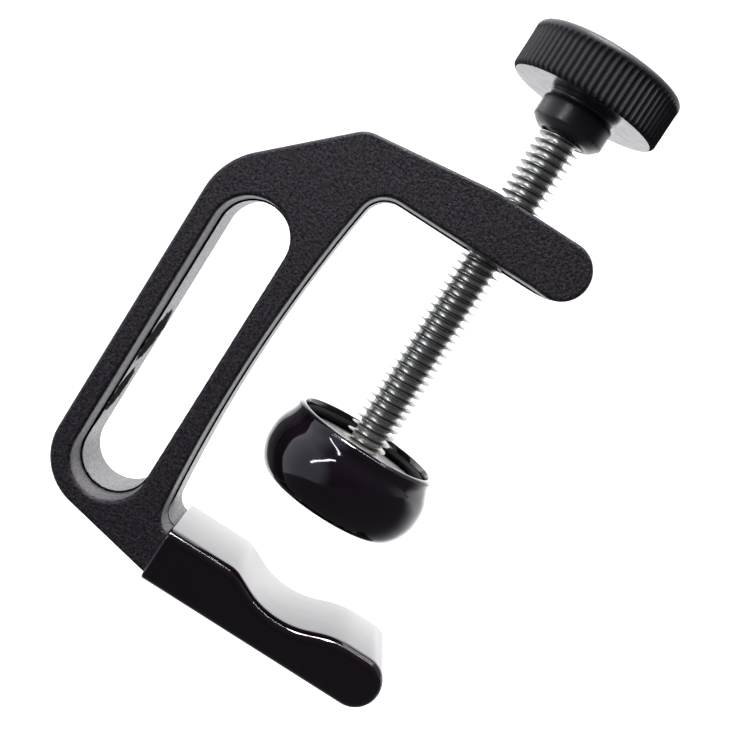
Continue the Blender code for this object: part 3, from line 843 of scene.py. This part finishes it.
# (radius, z) of the knob's section, starting inside the bore
KNOB_BORE = [(4.27, 96.0), (4.27, 90.2), (4.04, 89.95), (4.04, 89.3), (4.09, 89.16), (4.2, 89.1)]
KNOB_BOSS = [
    (4.42, 89.11), (4.8, 89.2), (5.3, 89.5), (6.30, 90.4), (6.43, 90.58), (6.45, 90.8),
    (6.45, 92.6), (6.45, 93.5), (6.42, 93.8), (6.30, 94.05), (6.08, 94.22), (5.95, 94.32),
    (5.9, 94.45), (5.9, 94.85), (5.94, 94.95), (6.05, 95.0),
]
KNOB_UNDER = [
    (6.8, 95.0), (8.0, 95.0), (9.5, 95.0), (11.2, 95.0), (12.0, 95.0), (12.85, 95.0),
    (13.0, 95.01), (13.10, 95.05), (13.42, 95.35), (13.55, 95.55), (SIDE_R, SIDE_LOW),
]
KNOB_SHOULDER = [
    (13.60, 101.3), (13.61, 101.55), (13.61, 101.75), (13.62, 101.95), (13.63, 102.12),
    (13.64, 102.28), (13.65, 102.42), (13.65, 102.55),
]
KNOB_TOP = [
    (12.3, 103.6), (11.0, 103.58), (9.35, 103.56), (9.15, 103.5), (9.02, 103.35),
    (9.0, 103.1), (9.0, 102.0), (7.42, 102.0), (7.42, 96.0),
]


def grip_radius(r, z, w):
    """Cuts the flutes, which end round under the top edge."""
    if r < 12.6 or z < KNOB_LOW + 0.02:
        return r
    top = min(1.0, max(0.0, (KNOB_HIGH - 1.3 - z) / 1.2))
    strength = math.sqrt(top * (2 - top))
    phase = (w * RIDGES / (2 * math.pi)) % 1.0
    flute = abs(math.sin(math.pi * phase)) ** 0.62
    return r - 0.46 * max(0.0, flute - (1.0 - strength))


def build_knob():
    side = [(SIDE_R, SIDE_LOW + (SIDE_HIGH - SIDE_LOW) * k / 6) for k in range(1, 7)]
    profile = KNOB_BORE + KNOB_BOSS + KNOB_UNDER + side + KNOB_SHOULDER
    profile += arc(12.50, 102.45, 1.14, 5, 85, 8) + KNOB_TOP
    # the fluted side needs many columns; the rest shares them
    mesh = mesh_of("knob_grip", *lathe(profile, RIDGES * 8, grip_radius))
    materials = [KNOB, KNOB_FACE, BOSS]
    new_object("knob_grip", mesh, materials, "screw", "knob")
    for face in mesh.polygons:
        x, y, z = face.center / MM
        r, z = math.hypot(x, y), z - LIFT
        smooth = (abs(z - KNOB_LOW) < 0.04 and r > 6.1) or (z > KNOB_HIGH - 0.02 and r < 12.4)
        face.material_index = 1 if smooth else 2 if r < 6.5 else 0
    mesh.set_sharp_from_angle(angle=math.radians(46))


def build_knob_cap():
    profile = [
        (0.0, 103.42), (2.0, 103.43), (5.0, 103.46), (LID_R - 1.2, 103.52),
        (LID_R - 0.85, 103.58), (LID_R - 0.6, KNOB_HIGH),
        *arc(LID_R - 0.35, KNOB_HIGH - 0.35, 0.35, 80, 0, 5),
        (LID_R, 102.4), (LID_R - 0.1, 102.3), (0.0, 102.3),
    ]
    mesh = mesh_of("knob_lid", *lathe(profile, 160))
    new_object("knob_lid", mesh, [KNOB_FACE], "screw", "knob_cap")
    mesh.set_sharp_from_angle(angle=math.radians(50))


# ---- the foot's disc and its cup --------------------------------------------
SEAT_R = 3.3                      # the disc's seat round the screw's ball
CUP_RIM, CUP_FLOOR = 29.2, 17.3


def build_disc():
    top = BALL_Z
    profile = [
        (4.75, top - 0.02), (4.95, top), (7.0, top), (9.9, top), (10.0, top - 0.04),
        (10.1, top), (12.6, top), (12.85, top - 0.08), (13.05, top - 0.3), (13.2, 24.0),
        (13.2, 21.3), (12.8, 19.6), (11.9, 18.2), (10.9, 17.6), (4.8, 17.6), (4.8, 23.0),
        (2.6, 23.0),
    ]
    for degrees in (38, 26, 18, 10.5):
        w = math.radians(degrees)
        profile.append((SEAT_R * math.cos(w), top - SEAT_R * math.sin(w)))
    profile += [(3.5, top - 0.45), (3.9, top - 0.15), (4.3, top - 0.05)]
    mesh = mesh_of("foot_disc", *lathe(profile, 120))
    new_object("foot_disc", mesh, [DISC], "foot", "swivel_foot")
    mesh.set_sharp_from_angle(angle=math.radians(40))


def cup_profile():
    """(radius, z) up the inside, over the lip and down the outside."""
    floor, rim = CUP_FLOOR, CUP_RIM
    inner = [
        (0.0, floor), (11.0, floor), (12.1, floor + 0.45), (12.8, floor + 1.3),
        (13.3, floor + 2.6), (13.48, floor + 4.0),
    ] + spline([
        (13.48, 23.6), (13.40, 25.4), (13.18, 26.1), (12.85, 26.8), (12.45, 27.45),
        (12.22, 28.05), (12.30, 28.55), (12.42, 28.85),
    ], 4)
    lip = [
        (12.47, 29.04), (12.56, 29.15), (12.68, rim), (12.80, 29.18), (12.96, 29.10),
        (13.14, 28.96),
    ]
    outer = spline([
        (13.30, rim - 0.42), (13.40, rim - 0.62), (13.38, rim - 1.05), (13.46, rim - 1.8),
        (13.80, rim - 2.7), (14.42, rim - 4.0), (14.84, rim - 5.4), (14.99, rim - 7.1),
        (14.90, rim - 8.8), (14.47, rim - 10.4), (13.86, rim - 11.7), (13.20, rim - 12.6),
        (12.50, rim - 13.18), (11.60, rim - 13.46),
    ], 5) + [(11.2, CAP_LOW), (10.6, CAP_LOW), (8.0, CAP_LOW), (0.0, CAP_LOW)]
    return inner + lip + outer


def build_cup():
    verts, faces = lathe(cup_profile(), 192)
    # soft PVC is never quite round: the lip leans and waves by a few hundredths
    soft = []
    for x, y, z in verts:
        r, w = math.hypot(x, y), math.atan2(y, x)
        if r > 9:
            free = min(1.0, max(0.0, (z - 25.8) / 3.4))
            wave = 0.045 * math.sin(2 * w + 0.7) + 0.03 * math.sin(3 * w + 2.1) - 0.075
            grown = 1.0 + free * wave / r
            x, y, z = x * grown, y * grown, z - 0.05 * free * (1 + math.sin(w + 1.0))
        soft.append((x, y, z))
    mesh = mesh_of("foot_cup", soft, faces)
    new_object("foot_cup", mesh, [CAP], "foot", "foot_cap")


# ---- the jaw's sleeve -------------------------------------------------------
BEAD = 0.42                       # rounding of the sleeve's open end
# the sleeve's outside and inside: gap to the metal, rounding of the long edges, steps
SLEEVE_WALLS = ((1.2, 2.0, 10), (0.08, 0.68, 5))


def slab(off, edge, count):
    """A closed slab round the jaw with rounded long edges, reaching past the sleeve."""
    half = THICK / 2 + off
    start = SLEEVE_X - 6.0
    corners = [(start, JAW_LOW - off, 0.0), *jaw_corners(off), (start, JAW_LAND + off, 0.0)]
    loop = wound(stepped(rounded(corners, 0.4), 0.6), 1)
    rings = [(edge + 0.05, -half)]          # (inset, y)
    for k in range(count + 1):
        w = math.radians(90.0 * k / count)
        rings.append((edge * (1 - math.sin(w)), -half + edge * (1 - math.cos(w))))
    rings += [(inset, -y) for inset, y in reversed(rings)]
    verts, faces = [], []
    n, m = len(loop), len(rings)
    for point, side in zip(loop, normals_of(loop)):
        for inset, y in rings:
            spot = point - side * inset
            verts.append((spot.x, y, spot.y))
    for i in range(n):
        j = (i + 1) % n
        for c in range(m - 1):
            faces.append((i * m + c, j * m + c, j * m + c + 1, i * m + c + 1))
    faces.append(tuple(i * m for i in range(n - 1, -1, -1)))
    faces.append(tuple(i * m + m - 1 for i in range(n)))
    return mesh_of("slab", verts, faces)


def cut_slab(mesh):
    """The slab as a bmesh, open where the end bead starts, with two cuts beside it."""
    bm = bmesh.new()
    bm.from_mesh(mesh)
    cut_at = Vector(((SLEEVE_X + BEAD) * MM, 0, 0))
    bmesh.ops.bisect_plane(
        bm, geom=bm.verts[:] + bm.edges[:] + bm.faces[:], dist=1e-7,
        plane_co=cut_at, plane_no=Vector((-1, 0, 0)), clear_outer=True,
    )
    for step in (0.13, 0.33):
        bmesh.ops.bisect_plane(
            bm, geom=bm.verts[:] + bm.edges[:] + bm.faces[:], dist=1e-7,
            plane_co=cut_at + Vector((step * MM, 0, 0)), plane_no=Vector((1, 0, 0)),
        )
    bmesh.ops.triangulate(bm, faces=[f for f in bm.faces if len(f.verts) > 4])
    return bm


def open_rim(edges, first=None):
    """The points of an open edge in order, from `first` or the first open edge."""
    edge = next(e for e in edges if e.is_boundary)
    first = first or edge.verts[0]
    here = edge.other_vert(first)
    out = [first]
    while here is not first:
        out.append(here)
        edge = next(e for e in here.link_edges if e.is_boundary and e is not edge)
        here = edge.other_vert(here)
    return out


def close_end(bm):
    """Join the two open edges, one inside the other, with a flat ring of triangles."""
    a = open_rim(bm.edges)
    rest = {v for e in bm.edges if e.is_boundary for v in e.verts} - set(a)
    first = min(rest, key=lambda v: (v.co - a[0].co).length_squared)
    b = open_rim(first.link_edges, first)

    def turn(loop):
        pairs = zip(loop, loop[1:] + loop[:1])
        return sum(p.co.y * q.co.z - q.co.y * p.co.z for p, q in pairs)

    if turn(a) * turn(b) < 0:
        b = [b[0]] + b[:0:-1]
    i = j = 0
    while i < len(a) or j < len(b):
        p, q = a[i % len(a)], b[j % len(b)]
        p2, q2 = a[(i + 1) % len(a)], b[(j + 1) % len(b)]
        if j >= len(b) or (i < len(a) and (p2.co - q.co).length <= (p.co - q2.co).length):
            bm.faces.new((p, p2, q))
            i += 1
        else:
            bm.faces.new((p, q2, q))
            j += 1


def build_sleeve():
    """A dipped sleeve: its inside follows the metal, and its open end is a thin
    rounded bead."""
    walls = [cut_slab(slab(*wall)) for wall in SLEEVE_WALLS]
    rims = [open_rim(bm.edges) for bm in walls]
    spots = [[v.co.copy() for v in rim] for rim in rims]
    for bm, rim, here, there in zip(walls, rims, spots, spots[::-1]):
        # a quarter-round from the wall to the end, towards the other wall
        across = [
            (min(there, key=lambda q: (q - p).length_squared) - p).normalized() for p in here
        ]
        before = rim
        for k in range(1, 5):
            w = math.radians(22.5 * k)
            into = BEAD * MM * (1 - math.cos(w))
            out = Vector((-BEAD * MM * math.sin(w), 0, 0))
            ring = [bm.verts.new(p + d * into + out) for p, d in zip(here, across)]
            for i in range(len(ring)):
                j = (i + 1) % len(ring)
                bm.faces.new((before[i], before[j], ring[j], ring[i]))
            before = ring
    outer, inner = walls
    bmesh.ops.reverse_faces(inner, faces=inner.faces[:])
    joined = bpy.data.meshes.new("sleeve_join")
    inner.to_mesh(joined)
    outer.from_mesh(joined)
    inner.free()
    close_end(outer)
    bmesh.ops.recalc_face_normals(outer, faces=outer.faces)
    mesh = bpy.data.meshes.new("jaw_sleeve")
    outer.to_mesh(mesh)
    outer.free()
    new_object("jaw_sleeve", mesh, [SLEEVE], "frame", "jaw_cover")
    for face in mesh.polygons:
        face.use_smooth = abs(face.normal.y) < 0.99999
    mesh.set_sharp_from_angle(angle=math.radians(60))


build_frame()
build_sleeve()
build_screw()
build_knob()
build_knob_cap()
build_disc()
build_cup()
for part in ("retaining_ring", "foot_washer"):
    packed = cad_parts[part].data
    packed.materials.clear()
    packed.materials.append(STEEL)


# ---- camera -----------------------------------------------------------------
PLACE = Vector((-10.83, -188.0, 60.0 + LIFT)) * MM
AIM = Vector((-6.99, 0.0, 39.53 + LIFT)) * MM
ROLL = math.radians(32.76)


def camera_axes():
    """The view's right, top and forward directions."""
    forward = (AIM - PLACE).normalized()
    side = forward.cross(Vector((0, 0, 1))).normalized()
    up = side.cross(forward)
    right = side * math.cos(ROLL) + up * math.sin(ROLL)
    top = up * math.cos(ROLL) - side * math.sin(ROLL)
    return right, top, forward


RIGHT, TOP, FORWARD = camera_axes()


def make_camera():
    data = bpy.data.cameras.new("camera")
    camera = bpy.data.objects.new("camera", data)
    bpy.context.scene.collection.objects.link(camera)
    matrix = Matrix((RIGHT, TOP, -FORWARD)).transposed().to_4x4()
    matrix.translation = PLACE
    camera.matrix_world = matrix
    data.sensor_width = 36.0
    data.lens = 54.4180328
    data.clip_start = 0.005
    data.clip_end = 20.0
    bpy.context.scene.camera = camera


# ---- the sweep, lengths in metres ---------------------------------------------
SWEEP_DROP, SWEEP_HALF = 0.45, 3.0
CURVE_START, CURVE_R = 1.1, 0.9


def sweep_look():
    """White to the camera; a glow elsewhere, bright behind the clamp and dark before it."""
    look = Look("sweep_look")
    tone = look.noise(scale=0.002, detail=2.0, rough=0.5)
    camera_ray = look.node("LightPath").outputs["Is Camera Ray"]
    position = look.node("NewGeometry").outputs["Position"]
    along = look.dot(position, FORWARD)
    seen = look.calc("MAXIMUM", look.ramp(along, span=(0.05, 0.75)), camera_ray)
    base = look.mix(tone, a=(0.86, 0.86, 0.86), b=(0.90, 0.90, 0.90))
    base = look.mix(seen, (0.05, 0.045, 0.05), base)
    # brighter higher up, dimmer far to the left and where it slants off to the right
    across, _, height = look.split(position)
    bright = look.scaled(look.ramp(height, span=(-0.10, 0.50)), by=1.05, plus=1.02)
    left = look.ramp(look.scaled(across, by=-1.0), span=(0.45, 1.6), to=(1.0, 0.28))
    bright = look.scaled(bright, by=left)
    least_depth = 0.05
    slant = look.calc("DIVIDE", across, look.calc("MAXIMUM", along, least_depth))
    bright = look.scaled(bright, by=look.ramp(slant, span=(0.45, 0.95), to=(1.0, 0.16)))
    glow = look.scaled(seen, by=look.scaled(bright, by=look.inverse(camera_ray)))
    glow = look.calc("ADD", glow, look.scaled(camera_ray, by=0.8))
    return look.finish(
        Base_Color=base, Roughness=0.8, Emission_Color=(1.0, 1.0, 1.0, 1.0),
        Emission_Strength=glow,
    )


def make_floor():
    """A pale sweep: a floor well below the clamp that curves up behind it."""
    # (distance along the view, rise)
    path = [(-2.2, 0.0), (0.0, 0.0), (CURVE_START, 0.0)]
    for k in range(1, 16):
        w = math.radians(6 * k)
        path.append((CURVE_START + CURVE_R * math.sin(w), CURVE_R * (1 - math.cos(w))))
    path += [(CURVE_START + CURVE_R, 2.6)]
    low = AIM - TOP * SWEEP_DROP
    verts = [
        tuple(low + FORWARD * along + RIGHT * across + TOP * rise)
        for across in (-SWEEP_HALF, SWEEP_HALF) for along, rise in path
    ]
    n = len(path)
    mesh = bpy.data.meshes.new("sweep")
    mesh.from_pydata(verts, [], [(i, i + 1, n + i + 1, n + i) for i in range(n - 1)])
    for face in mesh.polygons:
        face.use_smooth = True
    obj = bpy.data.objects.new("sweep", mesh)
    bpy.context.scene.collection.objects.link(obj)
    mesh.materials.append(sweep_look())


# ---- the world --------------------------------------------------------------
ROOM_GREY = (0.42, 0.40, 0.44)
ROOM_LEFT = (0.42, 0.44, 0.54)
# the room from behind the camera (0) to behind the clamp (1): position, colour
ROOM_ENDS = ((0.0, (0.055, 0.045, 0.058, 1)), (1.0, (2.6, 2.6, 2.6, 1)))
ROOM_STOPS = (
    (0.30, (0.10, 0.088, 0.108, 1)), (0.52, (*ROOM_GREY, 1)), (0.66, (0.95, 0.95, 0.95, 1)),
    (0.82, (2.2, 2.2, 2.2, 1)),
)


def make_world():
    """White to the camera; as light, bright behind the clamp and dim on the camera's side."""
    world = bpy.data.worlds.new("studio")
    bpy.context.scene.world = world
    world.use_nodes = True
    wiring = Wiring(world.node_tree)
    view = wiring.node("TexCoord").outputs["Generated"]
    depth = wiring.dot(view, (FORWARD * 0.93 + TOP * 0.36).normalized())
    share = wiring.node("MapRange", {"Value": depth, "From Min": -1.0, "From Max": 1.0})
    ramp = wiring.node("ValToRGB", {"Fac": share.outputs["Result"]})
    ramp.color_ramp.interpolation = "EASE"
    stops = ramp.color_ramp.elements
    for stop, (position, color) in zip(stops, ROOM_ENDS):
        stop.position, stop.color = position, color
    for position, color in ROOM_STOPS:
        stops.new(position).color = color
    light = ramp.outputs["Color"]
    # a grey wall on the right
    beside = wiring.ramp(wiring.dot(view, RIGHT), span=(0.40, 0.70))
    light = wiring.mix(beside, light, wiring.vector("MINIMUM", light, ROOM_GREY))
    # the room's dim, bluish left side
    left = wiring.dot(view, Vector((-0.93, -0.30, -0.20)).normalized())
    left = wiring.ramp(left, span=(0.50, 0.80))
    light = wiring.mix(left, light, ROOM_LEFT, blend="ADD")
    camera_ray = wiring.node("LightPath").outputs["Is Camera Ray"]
    background = world.node_tree.nodes["Background"]
    wiring.feed(background.inputs["Color"], wiring.mix(camera_ray, light, (1.0, 1.0, 1.0)))
    background.inputs["Strength"].default_value = 1.0


# ---- lights, lengths in metres ----------------------------------------------
def area_light(name, matrix, offset, size, power, color):
    """A rectangular lamp at an offset from the aim, turned by the matrix."""
    data = bpy.data.lights.new(name, "AREA")
    data.shape = "RECTANGLE"
    data.size, data.size_y = size
    data.energy = power
    data.color = color
    obj = bpy.data.objects.new(name, data)
    bpy.context.scene.collection.objects.link(obj)
    matrix.translation = AIM + offset
    obj.matrix_world = matrix


def make_light(name, direction, distance, size, power, color=(1, 1, 1)):
    out = Vector(direction).normalized()
    matrix = out.to_track_quat("Z", "Y").to_matrix().to_4x4()
    area_light(name, matrix, out * distance, size, power, color)


def make_strip(name, start, end, distance, width, power, color):
    """A tube light seen from the clamp between two directions."""
    a, b = Vector(start).normalized() * distance, Vector(end).normalized() * distance
    along = (b - a).normalized()
    out = ((a + b) / 2).normalized()
    matrix = Matrix((along, out.cross(along), out)).transposed().to_4x4()
    area_light(name, matrix, (a + b) / 2, ((b - a).length, width), power, color)


make_camera()
make_floor()
make_world()
# a tube at the front left, two overhead, and a soft lamp over the frame's peak
make_strip(
    "left_tube", start=(-0.74, -0.68, -0.05), end=(-0.345, -0.74, 0.62), distance=0.75,
    width=0.034, power=1.45, color=(0.95, 0.97, 1.0),
)
for tube, shift in (("tube_a", -0.19), ("tube_b", 0.19)):
    make_light(
        tube, direction=(0.0, -0.04 + shift, 1.0), distance=0.8, size=(0.9, 0.013), power=2.0
    )
make_light(
    "lamp", direction=(-0.22, -0.30, 0.93), distance=0.40, size=(0.10, 0.10), power=1.9,
    color=(1.0, 0.97, 1.0),
)

bpy.context.scene.view_settings.view_transform = "Standard"
bpy.context.view_layer.update()
